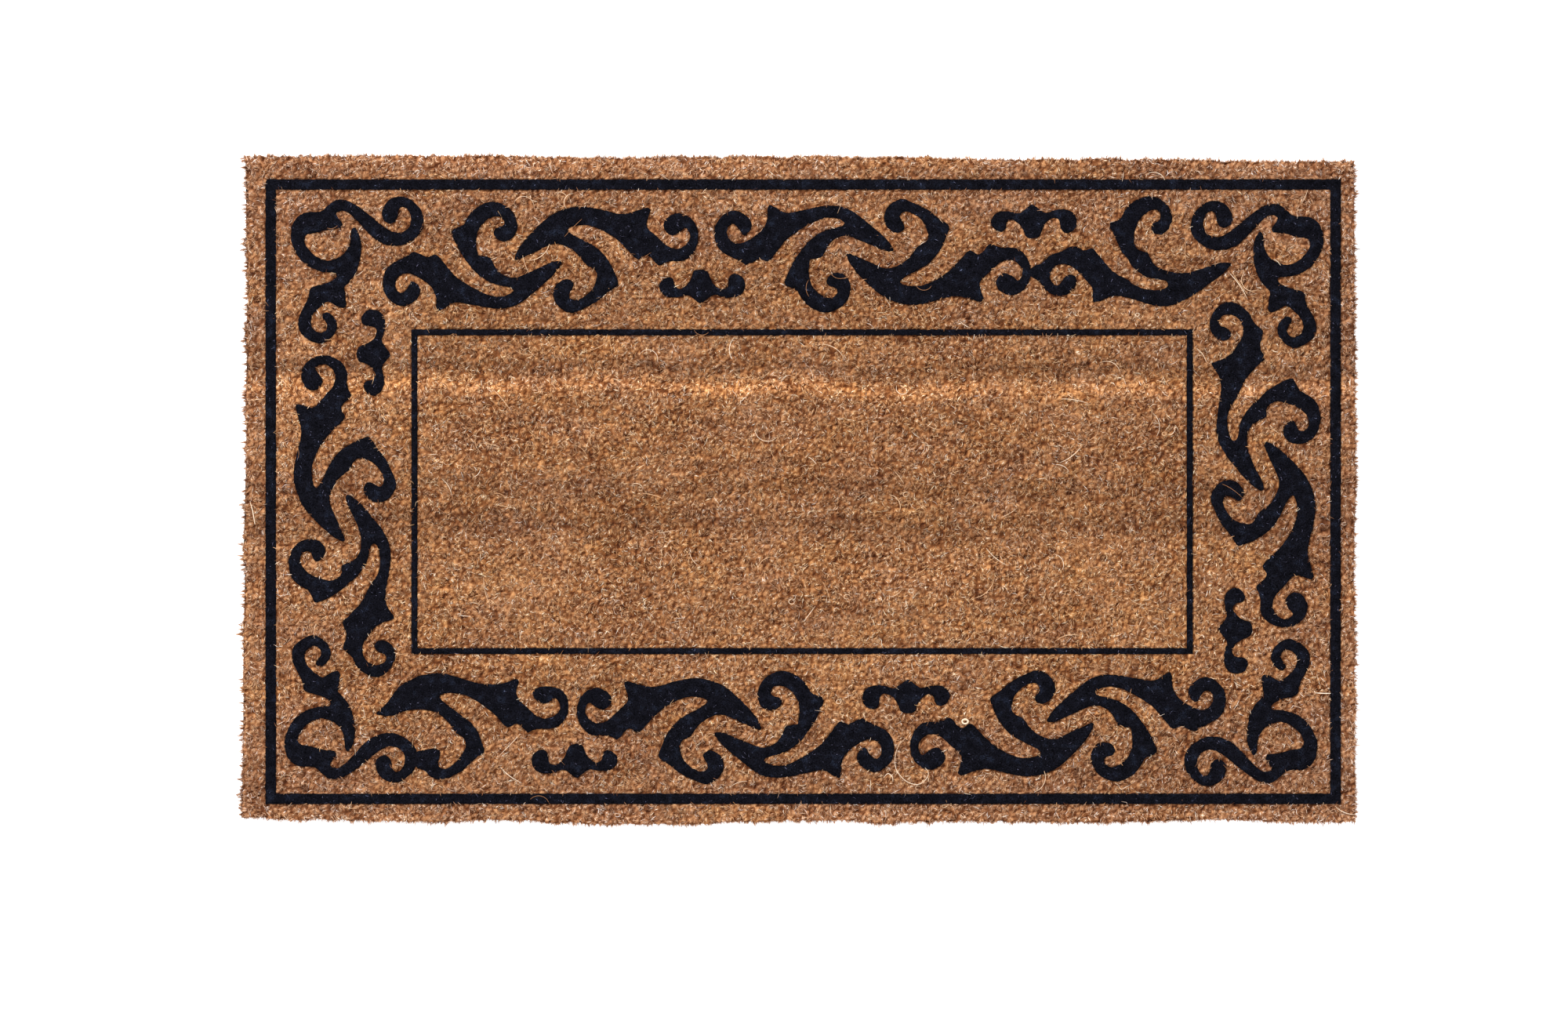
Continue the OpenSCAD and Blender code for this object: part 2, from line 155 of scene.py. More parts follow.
def outward(loop):
    """Unit vectors out of the material, at each point of a loop that has it on the left."""
    along = np.roll(loop, -1, 0) - np.roll(loop, 1, 0)
    return np.column_stack([along[:, 1], -along[:, 0]]) / (np.hypot(*along.T)[:, None] + 1e-9)


# ---------------------------------------------------------------- grids over the mat

NX = int(round(2 * (HALF_X + MARGIN) / CELL)) + 1
NY = int(round(2 * (HALF_Y + MARGIN) / CELL)) + 1
GX = -(HALF_X + MARGIN) + CELL * np.arange(NX)
GY = -(HALF_Y + MARGIN) + CELL * np.arange(NY)


def blurred(grid, sigma_x, sigma_y=None):
    """A Gaussian blur; each sigma is in mm, and the grid wraps round."""
    fx = np.fft.rfftfreq(grid.shape[1])[None, :] * sigma_x / CELL
    fy = np.fft.fftfreq(grid.shape[0])[:, None] * (sigma_y or sigma_x) / CELL
    return np.fft.irfft2(np.fft.rfft2(grid) * np.exp(-2 * math.pi**2 * (fx**2 + fy**2)), grid.shape)


def noise(sigma_x, sigma_y=None):
    """Smooth noise over the mat, with mean 0 and deviation 1."""
    field = blurred(rng.standard_normal((NY, NX)), sigma_x, sigma_y)
    return (field - field.mean()) / field.std()


def sample(grid, x, y):
    """Bilinear look-up in a grid, at points in mm."""
    u = np.clip((x - GX[0]) / CELL, 0, NX - 1.001)
    v = np.clip((y - GY[0]) / CELL, 0, NY - 1.001)
    i, j = u.astype(int), v.astype(int)
    a, b = u - i, v - j
    return (grid[j, i] * (1 - a) * (1 - b) + grid[j, i + 1] * a * (1 - b)
            + grid[j + 1, i] * (1 - a) * b + grid[j + 1, i + 1] * a * b)


def filled(loops):
    """The islands as a grid of 0 and 1, filled by the even-odd rule."""
    flips = np.zeros((NY, NX + 1), int)
    for loop in loops:
        for (x0, y0), (x1, y1) in zip(loop, np.roll(loop, -1, 0)):
            rows = np.flatnonzero((GY >= min(y0, y1)) & (GY < max(y0, y1)))
            if len(rows):
                x = x0 + (GY[rows] - y0) * (x1 - x0) / (y1 - y0)
                np.add.at(flips, (rows, np.clip(((x - GX[0]) / CELL).astype(int) + 1, 0, NX)), 1)
    return (np.cumsum(flips, 1)[:, :NX] % 2).astype(float)


LOOPS = {n: outlines(n) for n in PRINTS}
NEAR_PRINT = blurred(filled([loop for n in PRINTS for loop in LOOPS[n]]), 0.9)

# Tufts: one in each cell of a shaken grid. A point belongs to the tuft nearest to it.
TX = int(2 * HALF_X / TUFT_PITCH) + 4
TY = int(2 * HALF_Y / TUFT_PITCH) + 4
TUFTS = np.stack(np.meshgrid(np.arange(TX) - TX / 2 + 0.5, np.arange(TY) - TY / 2 + 0.5), -1) * TUFT_PITCH
TUFTS += rng.uniform(-TUFT_SHAKE, TUFT_SHAKE, TUFTS.shape) * TUFT_PITCH
LIFTS = rng.normal(0, 1, (TY, TX))


def relief():
    """The tips of the pile, in mm about 0, and how much each place is a gap between tufts."""
    x, y = np.meshgrid(GX, GY)
    i = np.clip((x / TUFT_PITCH + TX / 2).astype(int), 1, TX - 2)
    j = np.clip((y / TUFT_PITCH + TY / 2).astype(int), 1, TY - 2)
    first = np.full(x.shape, 99.0)
    second = np.full(x.shape, 99.0)
    lift = np.zeros(x.shape)
    for dj in (-1, 0, 1):
        for di in (-1, 0, 1):
            middle = TUFTS[j + dj, i + di]
            d = np.hypot(x - middle[..., 0], y - middle[..., 1])
            nearer = d < first
            second = np.where(nearer, first, np.minimum(second, d))
            lift = np.where(nearer, LIFTS[j + dj, i + di], lift)
            first = np.where(nearer, d, first)
    gap = np.exp(-(((second - first) / GAP_WIDTH) ** 2))
    tips = LIFT * lift - GAP_DEPTH * gap - DOME * first**2
    return tips + 0.1 * noise(14) + 0.3 * noise(0.6), gap


RELIEF, GAPS = relief()
SOFT_RELIEF = blurred(RELIEF, 1.6)

# A fine raggedness of the cut edges.
FRAY = 0.35 * noise(1.0) + 0.25 * noise(5)


def pile_top(x, y):
    """Height of the pile, which is lower beneath the print."""
    return PILE_HI[2] - TIPS_BELOW + sample(RELIEF, x, y) - PRESSED * sample(NEAR_PRINT, x, y) ** 2


def print_top(x, y):
    """Height of the flock, which follows the tufts softly."""
    return FLOCK_TOP - FLOCK_BELOW + 0.45 * sample(SOFT_RELIEF, x, y)


# The yarns were laid in rows along the mat, so its tone runs in rows too: for each band its middle, its
# half width, and how much paler (or, below 0, duller) it is.
BANDS = [(226, 6, 0.12), (140, 30, -0.03), (109, 5, -0.08), (84, 5, -0.12), (69.5, 6.5, 0.2), (38, 6, 0.02),
         (26, 5, -0.015), (2, 9, -0.085), (-24, 8, -0.11), (-55, 24, 0.03), (-135, 40, 0.03),
         (-166, 6, -0.03), (-190, 5, -0.02), (-226, 6, 0.1)]
ROW_SWAY = 1.6 * noise(22, 60)
STREAKS = noise(28, 2.6)
PATCHES = noise(9, 6)
HUES = 0.6 * noise(12, 5) + 0.5 * noise(4)
# Which way the tufts lie, about the line across the mat.
NAP = noise(18)


def tone(x, y):
    """Brightness of the coir at a place, about 0.5: half of the factor on its linear colour. It holds the rows'
    own tone and painted shade in the gaps between tufts.
    """
    left, right = HALF_X + x, HALF_X - x
    row = y + sample(ROW_SWAY, x, y)
    value = 1.018 + sum(gain * np.exp(-(((row - middle) / half) ** 2)) for middle, half, gain in BANDS)
    value += 0.05 * np.exp(-left / 12) + 0.045 * np.exp(-right / 12)
    value += 0.04 * np.exp(-(((left - 36) / 20) ** 2))
    value += 0.018 * sample(STREAKS, x, y) + 0.013 * sample(PATCHES, x, y)
    # Painted shade: the coir is made darker in the gaps between tufts.
    return 0.5 * (value * (1.09 - 0.17 * sample(GAPS, x, y))) ** 2.2


def hue(x, y):
    """0 for dull and purplish coir, 1 for golden; it is duller towards the cut edges."""
    edge = np.maximum(np.abs(x) / HALF_X - 0.7, 0) + np.maximum(np.abs(y) / HALF_Y - 0.6, 0)
    return 0.62 + 0.18 * sample(HUES, x, y) - 1.2 * edge - 0.3 * np.exp(-(HALF_X - x) / 14)


# ---------------------------------------------------------------- meshes


def mesh_object(name, verts, tris, quads, uv=None, tint=None):
    """A mesh from arrays: verts in mm, one UV for each corner, one tint (4 numbers) for each vertex."""
    tris = np.asarray(tris, np.int32).reshape(-1, 3)
    quads = np.asarray(quads, np.int32).reshape(-1, 4)
    mesh = bpy.data.meshes.new(name)
    mesh.vertices.add(len(verts))
    mesh.vertices.foreach_set("co", (np.asarray(verts, float) * MM).ravel())
    corners = np.concatenate([tris.ravel(), quads.ravel()])
    mesh.loops.add(len(corners))
    mesh.loops.foreach_set("vertex_index", corners)
    totals = np.concatenate([np.full(len(tris), 3), np.full(len(quads), 4)]).astype(np.int32)
    mesh.polygons.add(len(totals))
    mesh.polygons.foreach_set("loop_start", np.concatenate([[0], np.cumsum(totals)[:-1]]).astype(np.int32))
    mesh.polygons.foreach_set("loop_total", totals)
    mesh.update(calc_edges=True)
    mesh.polygons.foreach_set("use_smooth", np.full(len(totals), True))
    if uv is not None:
        layer = mesh.uv_layers.new(name="OFBake")
        layer.data.foreach_set("uv", np.asarray(uv, float).ravel())
    if tint is not None:
        colour = mesh.color_attributes.new("tint", "FLOAT_COLOR", "POINT")
        colour.data.foreach_set("color", np.asarray(tint, float).ravel())
    mesh.validate()
    piece = bpy.data.objects.new(name, mesh)
    bpy.context.scene.collection.objects.link(piece)
    return piece


def strands(points, radius, tint, sides=3, tip=0.45):
    """Closed fibres along rows of points (n, rings, 3). Returns verts, tris, quads, UVs and tints.

    A fibre's own tint is its shade, its hue and the mat's tone there. Each fibre gets its own cell of the
    UV square, in which u runs round it and v along it.
    """
    n, rings = points.shape[:2]
    along = np.gradient(points, axis=1)
    along /= np.linalg.norm(along, axis=2, keepdims=True) + 1e-9
    side = np.cross(along, [0.05, 0.03, 1.0])
    side /= np.linalg.norm(side, axis=2, keepdims=True) + 1e-9
    up = np.cross(side, along)
    taper = np.interp(np.linspace(0, 1, rings), [0, 0.3, 0.75, 1], [0.7, 1, 0.9, tip])
    r = radius[:, None, None, None] * taper[None, :, None, None]
    turn = np.arange(sides) * TURN / sides + TURN / 4
    verts = (points[:, :, None] + r * (np.cos(turn)[None, None, :, None] * side[:, :, None]
                                       + np.sin(turn)[None, None, :, None] * up[:, :, None]))
    index = np.arange(n * rings * sides).reshape(n, rings, sides)
    a, b = index[:, :-1], index[:, 1:]
    quads = np.stack([a, b, np.roll(b, -1, 2), np.roll(a, -1, 2)], -1).reshape(-1, 4)
    fan = [(0, k, k + 1) for k in range(1, sides - 1)]
    low = np.concatenate([index[:, 0][:, list(f)] for f in fan])
    high = np.concatenate([index[:, -1][:, list(f[::-1])] for f in fan])
    tris = np.concatenate([low, high])

    first, last, cap_size = 0.12, 0.88, 0.05
    grid = int(math.ceil(math.sqrt(n)))
    cell = np.stack([np.arange(n) % grid, np.arange(n) // grid], -1)
    u = np.linspace(first, last, sides + 1)
    v = np.linspace(first, last, rings)
    corner = np.zeros((rings - 1, sides, 4, 2))
    corner[..., 0] = np.stack([u[:-1], u[:-1], u[1:], u[1:]], -1)[None]
    corner[..., 1] = np.stack([v[:-1], v[1:], v[1:], v[:-1]], -1)[:, None]
    quad_uv = (corner[None] + cell[:, None, None, None]) / grid
    cap = np.array([[0.5 - cap_size, 0.0], [0.5 + cap_size, 0.0], [0.5, cap_size]])
    low_uv = np.tile((cap[None] + [0, first] + cell[:, None]) / grid, (len(fan), 1, 1))
    high_uv = np.tile((cap[None] + [0, last - cap_size] + cell[:, None]) / grid, (len(fan), 1, 1))
    uv = np.concatenate([low_uv.reshape(-1, 2), high_uv.reshape(-1, 2), quad_uv.reshape(-1, 2)])

    length = np.broadcast_to(np.linspace(0, 1, rings)[None, :, None], (n, rings, sides))
    spread = np.broadcast_to(tint[:, None, None, :], (n, rings, sides, 3))
    tints = np.concatenate([spread[..., :2], length[..., None], spread[..., 2:]], -1).reshape(-1, 4)
    return verts.reshape(-1, 3), tris, quads, uv, tints


def bent(start, end, lift, sway):
    """Three points along each fibre from start to end, arched up by lift and sideways by sway."""
    t = np.array([0, 0.5, 1])[None, :, None]
    across = np.cross(end - start, [0, 0, 1.0])
    middle = (start + end) / 2 + across * sway[:, None]
    middle[:, 2] += lift
    return (1 - t) ** 2 * start[:, None] + 2 * t * (1 - t) * middle[:, None] + t**2 * end[:, None]


def areas(flat, faces):
    """Areas of flat triangles, above 0 for those that face up."""
    a, b, c = (flat[faces[:, k]] for k in range(3))
    return 0.5 * np.cross(b - a, c - a)


def triangulated(points, loops):
    """Upward triangles inside the loops, through points that begin with the loops' own.

    Returns the places, the faces, and for each place the point it came from, or -1.
    """
    sides, start = [], 0
    for loop in loops:
        k = start + np.arange(len(loop))
        sides += zip(k.tolist(), np.roll(k, -1).tolist())
        start += len(loop)
    out = geometry.delaunay_2d_cdt([Vector(p) for p in points], sides, [], 0, 1e-5)
    flat = np.array([tuple(v) for v in out[0]])
    faces = np.array([f for f in out[2] if len(f) == 3])
    faces = faces[inside(flat[faces].mean(1), loops)]
    turned = areas(flat, faces) < 0
    faces[turned] = faces[turned][:, ::-1]
    return flat, faces, np.array([o[0] if len(o) else -1 for o in out[3]])


# ---------------------------------------------------------------- materials


def node_material(name):
    """A new node material, its tree and its shader."""
    material = bpy.data.materials.new(name)
    material.use_nodes = True
    tree = material.node_tree
    return material, tree, tree.nodes["Principled BSDF"]


def ramp(tree, factor, *stops):
    """A colour ramp through (position, colour) stops, where a single number is a grey."""
    node = tree.nodes.new("ShaderNodeValToRGB")
    band = node.color_ramp
    while len(band.elements) < len(stops):
        band.elements.new(0.5)
    for element, (position, colour) in zip(band.elements, stops):
        element.position = position
        element.color = (*np.broadcast_to(colour, 3), 1.0)
    tree.links.new(factor, node.inputs[0])
    return node.outputs[0]


def texture(tree, scale, detail, rough=0.55):
    """Noise over the object's own coordinates; scale is in features per metre."""
    where = tree.nodes.new("ShaderNodeTexCoord")
    node = tree.nodes.new("ShaderNodeTexNoise")
    node.inputs["Scale"].default_value = scale
    node.inputs["Detail"].default_value = detail
    node.inputs["Roughness"].default_value = rough
    tree.links.new(where.outputs["Object"], node.inputs["Vector"])
    return node.outputs[0]


def product(tree, *colours):
    """Colours multiplied together."""
    result = colours[0]
    for colour in colours[1:]:
        node = tree.nodes.new("ShaderNodeMix")
        node.data_type = "RGBA"
        node.blend_type = "MULTIPLY"
        node.inputs[0].default_value = 1.0
        tree.links.new(result, node.inputs[6])
        tree.links.new(colour, node.inputs[7])
        result = node.outputs[2]
    return result


def bump(tree, shader, height, distance):
    """A fine bump, with its depth in metres."""
    node = tree.nodes.new("ShaderNodeBump")
    node.inputs["Distance"].default_value = distance
    tree.links.new(height, node.inputs["Height"])
    tree.links.new(node.outputs[0], shader.inputs["Normal"])


def tint_sockets(tree):
    """Of a fibre: its shade, its hue, how far along it a point is, and the tone of the mat there."""
    node = tree.nodes.new("ShaderNodeAttribute")
    node.attribute_name = "tint"
    split = tree.nodes.new("ShaderNodeSeparateColor")
    tree.links.new(node.outputs["Color"], split.inputs[0])
    return (*split.outputs, node.outputs["Alpha"])


def coir_colour(tree, shade, hues, tones):
    """Coconut fibre, from dark brown through tan to straw; the pale ones are greyer."""
    fibre = ramp(tree, shade, (0.0, linear(84, 36, 10)), (0.25, linear(143, 90, 53)),
                 (0.5, linear(184, 136, 96)), (0.75, linear(218, 181, 145)), (1.0, linear(248, 238, 224)))
    cast = ramp(tree, hues, (0.0, (0.93, 0.93, 1.03)), (0.5, (1.0, 0.99, 0.96)), (1.0, (1.05, 1.0, 0.81)))
    # Half the tone goes in and the whole comes out. What is darker than usual, in duller rows and in the
    # painted shade of the gaps, is also redder.
    light = ramp(tree, tones, (0.0, 0.0), (0.25, (0.51, 0.43, 0.37)), (0.5, 1.0), (1.0, (1.93, 2.01, 1.9)))
    return product(tree, fibre, cast, light)


def make_coir_fibre():
    """Loose fibres: finely streaked, and darker and redder at the root, which is painted shade where they go
    down into the pile.
    """
    material, tree, shader = node_material("coir_fibre")
    shade, hues, along, tones = tint_sockets(tree)
    streak = texture(tree, 1800, 2)
    # Painted shade: each fibre is darker towards its root, low in the pile.
    root = ramp(tree, along, (0.0, (0.6, 0.5, 0.42)), (0.35, 1.0))
    streaks = ramp(tree, streak, (0.3, (0.8, 0.76, 0.72)), (0.7, 1.06))
    colour = product(tree, coir_colour(tree, shade, hues, tones), root, streaks)
    tree.links.new(colour, shader.inputs["Base Color"])
    shader.inputs["Roughness"].default_value = 0.6
    shader.inputs["Specular IOR Level"].default_value = 0.4
    bump(tree, shader, streak, 0.0001)
    return material


def make_coir_base():
    """The matted pile: painted shade darkens it in its pits and down its sides; it is flecked all over."""
    material, tree, shader = node_material("coir_base")
    shade, hues, depth, tones = tint_sockets(tree)
    fine = texture(tree, 900, 4, 0.65)
    # Painted shade: the lower the pile lies, the darker it is made.
    pit_shade = ramp(tree, depth, (0.0, (0.28, 0.2, 0.15)), (0.4, (0.6, 0.51, 0.44)), (0.8, 1.0))
    flecks = ramp(tree, fine, (0.3, (0.55, 0.47, 0.4)), (0.65, 1.1))
    colour = product(tree, coir_colour(tree, shade, hues, tones), pit_shade, flecks)
    tree.links.new(colour, shader.inputs["Base Color"])
    shader.inputs["Roughness"].default_value = 0.85
    shader.inputs["Specular IOR Level"].default_value = 0.15
    bump(tree, shader, fine, 0.0006)
    return material


def make_flock():
    """Near-black blue flock, with a few grey fibres in it."""
    material, tree, shader = node_material("flock")
    shade = tint_sockets(tree)[0]
    fine = texture(tree, 1300, 3, 0.6)
    blotch = texture(tree, 150, 3)
    ink = ramp(tree, blotch, (0.3, linear(5, 5, 8)), (0.55, linear(9, 9, 14)), (0.75, linear(17, 20, 29)))
    fibre = ramp(tree, shade, (0.0, 0.1), (0.45, 1.7), (0.7, (8.0, 8.2, 8.5)), (1.0, (36, 35, 34)))
    grain = ramp(tree, fine, (0.35, 0.08), (0.65, 2.3))
    tree.links.new(product(tree, ink, fibre, grain), shader.inputs["Base Color"])
    shader.inputs["Roughness"].default_value = 0.9
    shader.inputs["Specular IOR Level"].default_value = 0.02
    bump(tree, shader, fine, 0.0004)
    return material


def make_vinyl():
    """Dark grey vinyl, mottled, with a fine grain."""
    material, tree, shader = node_material("vinyl_backing")
    mottle = texture(tree, 90, 4)
    colour = ramp(tree, mottle, (0.3, linear(66, 62, 66)), (0.7, linear(92, 88, 92)))
    tree.links.new(colour, shader.inputs["Base Color"])
    tree.links.new(ramp(tree, mottle, (0.3, 0.5), (0.7, 0.68)), shader.inputs["Roughness"])
    bump(tree, shader, texture(tree, 1500, 2), 0.0002)
    return material


COIR_FIBRE = make_coir_fibre()
COIR_BASE = make_coir_base()
FLOCK = make_flock()
VINYL = make_vinyl()


def finish_piece(piece, material, node):
    """Gives a piece its material and slot, and lets it ride on the mat in place of a CAD node."""
    piece.data.materials.append(material)
    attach(piece, "root")
    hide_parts(node)


# ---------------------------------------------------------------- the cut edges

# The knife did not cut quite straight. Each side is a line of (place along it, distance from the middle).
CUTS = {
    "top": [(-381, 228.4), (-340, 229.4), (-180, 229.3), (-120, 228), (-80, 229), (20, 228.7), (100, 227.6),
            (150, 226.6), (200, 227.3), (260, 226.7), (320, 225.6), (381, 225.6)],
    "bottom": [(-381, 224.6), (-345, 227), (-290, 227), (-251, 228.7), (-208, 226.5), (-140, 229.8),
               (-70, 229.4), (28, 227), (52, 229.2), (93, 227.7), (200, 229.3), (286, 226.7),
               (351, 228.6), (381, 227.8)],
    "left": [(-229, 383.2), (-170, 382.7), (-70, 381.4), (60, 380.1), (160, 379.9), (229, 380.8)],
    "right": [(-229, 381), (-150, 381.7), (-70, 381.1), (30, 381.9), (130, 381.5), (229, 380.7)],
}

# How far the tufts stand out on each side. The left side frays most; the top and bottom were cut cleanest.
TUFT_REACH = {"left": 2.2, "right": 1.1, "bottom": 0.8, "top": 0.9}

# How far the vinyl ends short of the line of each cut.
VINYL_SHORT = {"left": 4.4, "right": 2.3, "bottom": 2.7, "top": 2.7}


def tufted_edge(side):
    """One cut edge: places, distances from the middle, and how far the tufts there stand out."""
    reach = TUFT_REACH[side]
    places, distances = np.array(CUTS[side]).T
    ends = places[[0, -1]] + (-5, 5)
    place = np.arange(*ends, 0.3)
    middle = np.arange(*ends, 1.9)
    middle = middle + rng.uniform(-0.9, 0.9, len(middle))
    height = np.minimum(rng.gamma(1.3, reach / 1.3, len(middle)), 2.2 * reach)
    half = rng.uniform(0.5, 1.4, len(middle))
    lobes = (height * np.clip(1 - np.abs((place[:, None] - middle) / half) ** 1.2, 0, None)).max(1)
    return place, np.interp(place, places, distances) - 0.4 - lobes.mean(), lobes


EDGES = {side: tufted_edge(side) for side in TUFT_REACH}


def edge_x(y, side, tufts=1.0):
    """Where the cut edge on the left (-1) or right (1) is, this far up the mat."""
    place, distance, lobes = EDGES["left" if side < 0 else "right"]
    fray = sample(FRAY, np.full_like(y, side * HALF_X * 0.99), y) * (1.6 if side < 0 else 0.8)
    return side * (np.interp(y, place, distance + tufts * lobes) + fray)


def edge_y(x, side, tufts=1.0):
    """Where the cut edge at the bottom (-1) or top (1) is, this far along the mat."""
    place, distance, lobes = EDGES["bottom" if side < 0 else "top"]
    fray = sample(FRAY, x, np.full_like(x, side * HALF_Y * 0.99))
    return side * (np.interp(x, place, distance + tufts * lobes) + fray)


def in_mat(p, inset):
    """Which places are inside the cut edges by this much."""
    x, y = p.T
    return ((x > edge_x(y, -1) + inset) & (x < edge_x(y, 1) - inset)
            & (y > edge_y(x, -1) + inset) & (y < edge_y(x, 1) - inset))


# ---------------------------------------------------------------- the matted pile, in strips


def folded_uv(points, y0, y1, rows, share):
    """UVs of a long strip laid in rows one above the other, filling the lower share of the UV square."""
    middle = points.mean(1)
    past = 3
    width = 2 * (HALF_X + past) / rows
    row = np.clip(((middle[:, 0] + HALF_X + past) / width).astype(int), 0, rows - 1)
    u = (points[..., 0] + HALF_X + past - row[:, None] * width) / width
    v = (row[:, None] + 0.02 + 0.96 * (points[..., 1] - y0) / (y1 - y0)) / rows
    return np.stack([0.01 + 0.98 * u, 0.005 + share * v], -1)


def side_uv(points):
    """UVs of a strip's sides and underside: a narrow band along the top of the UV square."""
    past = 30
    u = (points[..., 0] + points[..., 1] * 0.1 + HALF_X + past) / (2 * (HALF_X + past))
    return np.stack([0.01 + 0.98 * u, 0.915 + 0.005 * points[..., 2]], -1)


def strip_top(k, y0, y1):
    """The top of one strip as a grid of points, rounded off along the cut edges."""
    rounding, sunk, across = 1.2, 0.6, 99
    nx, ny = int(2 * HALF_X / BASE_PITCH), int((y1 - y0) / BASE_PITCH)
    s, t = np.meshgrid(np.linspace(-1, 1, nx + 1), np.linspace(0, 1, ny + 1))
    y = y0 + (y1 - y0) * t
    from_edge = (1 - np.abs(s)) * HALF_X
    if k == 0:
        y = y + (edge_y(s * HALF_X, -1, 0) + HALF_Y) * (1 - t) ** 3
        from_edge = np.minimum(from_edge, t * across)
    if k == BASE_STRIPS - 1:
        y = y + (edge_y(s * HALF_X, 1, 0) - HALF_Y) * t**3
        from_edge = np.minimum(from_edge, (1 - t) * across)
    x = np.where(s < 0, -s * edge_x(y, -1, 0), s * edge_x(y, 1, 0))
    z = pile_top(x, y) - sunk - rounding * np.exp(-from_edge / rounding)
    return np.stack([x, y, z], -1)


def rough_ring(ring, level):
    """A strip's outline, lowered to a level from its top (1) to its bottom (0), rough along the cut sides."""
    ring = ring.copy()
    ring[:, 2] = PILE_LO[2] + (ring[:, 2] - PILE_LO[2]) * level
    if level > 0:
        out = sample(FRAY, ring[:, 0] * 0.97 + 40 * level, ring[:, 1] * 0.97) * 0.35
        ring[:, 0] += np.where(np.abs(ring[:, 0]) > HALF_X - 6, np.sign(ring[:, 0]) * out, 0)
        ring[:, 1] += np.where(np.abs(ring[:, 1]) > HALF_Y - 8, np.sign(ring[:, 1]) * out, 0)
    return ring


def pile_strip(k):
    """One closed strip of the matted pile: its top in relief, its cut sides rough."""
    y0, y1 = (2 * HALF_Y * i / BASE_STRIPS - HALF_Y for i in (k, k + 1))
    top = strip_top(k, y0, y1)
    ny, nx = top.shape[0] - 1, top.shape[1] - 1
    top = top.reshape(-1, 3)
    index = np.arange(len(top)).reshape(ny + 1, nx + 1)
    quads = np.stack([index[:-1, :-1], index[:-1, 1:], index[1:, 1:], index[1:, :-1]], -1).reshape(-1, 4)
    ring = np.concatenate([index[0, :-1], index[:-1, -1], index[-1, :0:-1], index[:0:-1, 0]])

    rings, walls, low = [top], [], ring
    for row, level in enumerate((0.72, 0.45, 0.2, 0.0)):
        rings.append(rough_ring(top[ring], level))
        new = len(top) + row * len(ring) + np.arange(len(ring))
        walls.append(np.stack([low, new, np.roll(new, -1), np.roll(low, -1)], -1))
        low = new
    verts = np.concatenate(rings)
    # The underside, against the backing, has thin faces from one long side to the other, and a fan at each end.
    front, back = low[: nx + 1], low[nx + ny: 2 * nx + ny + 1][::-1]
    walls.append(np.stack([front[:-1], back[:-1], back[1:], front[1:]], -1))
    sides = np.concatenate(walls)
    right, left = low[nx: nx + ny + 1], np.append(low[2 * nx + ny:], low[0])
    caps = np.array([(end[0], end[i], end[i + 1]) for end in (right, left) for i in range(1, ny)])

    uv_caps = np.full((3 * len(caps), 2), 0.99)
    uv_top = folded_uv(verts[quads], y0 - 2, y1 + 2, rows=3, share=0.9)
    uv = np.concatenate([uv_caps, uv_top.reshape(-1, 2), side_uv(verts[sides]).reshape(-1, 2)])
    x, y, z = verts.T
    high = sample(RELIEF, x, y)
    # Painted shade: depth falls where the pile lies low, in the gaps between tufts and down its cut sides. The
    # shade is paler on high places and darker on low ones, also painted light and shade.
    depth = np.clip((z - PILE_LO[2]) / 8, 0, 1) * np.clip((high + 1.8) / 2.0, 0, 1)
    shade = np.clip(0.45 + 0.12 * high, 0, 1)
    tint = np.column_stack([shade, np.clip(hue(x, y), 0, 1), depth, tone(x, y)])
    piece = mesh_object(f"coir_pile_{k + 1}", verts, caps, np.concatenate([quads, sides]), uv, tint)
    finish_piece(piece, COIR_BASE, "coir_pile")


for k in range(BASE_STRIPS):
    pile_strip(k)


# ---------------------------------------------------------------- loose tips of the fibres


def clear_of_print(*places):
    """Which fibres keep off the print at all these places."""
    return np.all([sample(NEAR_PRINT, p[:, 0], p[:, 1]) < 0.5 for p in places], 0)


